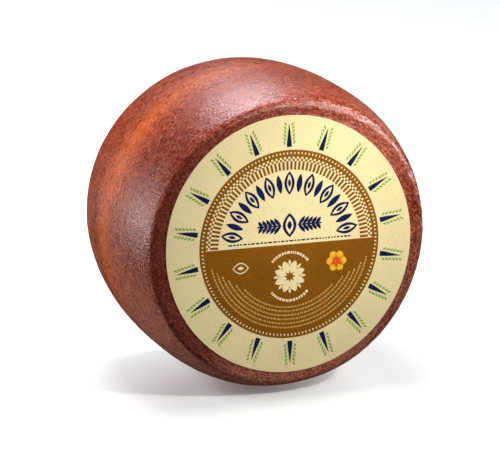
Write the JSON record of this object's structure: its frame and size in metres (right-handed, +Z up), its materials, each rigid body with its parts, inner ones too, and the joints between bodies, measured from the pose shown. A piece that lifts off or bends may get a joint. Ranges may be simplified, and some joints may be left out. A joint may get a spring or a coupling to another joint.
{
  "type": "cheese wheel",
  "caption": "Whole drum-shaped wheel of matured hard cheese with a glossy reddish brown rind and a round paper label on its front face, standing on its rim.",
  "frame": {"origin": "on the ground, under the middle of the wheel", "axes": "+Y runs along the wheel's axis from the label to the back, and the label looks along -Y, +X is to the right seen from the label's side, +Z up"},
  "size_m": [0.1968, 0.1346, 0.1921],
  "materials": {
    "rind": "glossy reddish brown cheese rind, fine-grained, with an orange band round the side",
    "label_paper": "matt cream label paper with printed ornament"
  },
  "bodies": {
    "root": {"cheese": "rind", "label": "label_paper"}
  },
  "joints": []
}
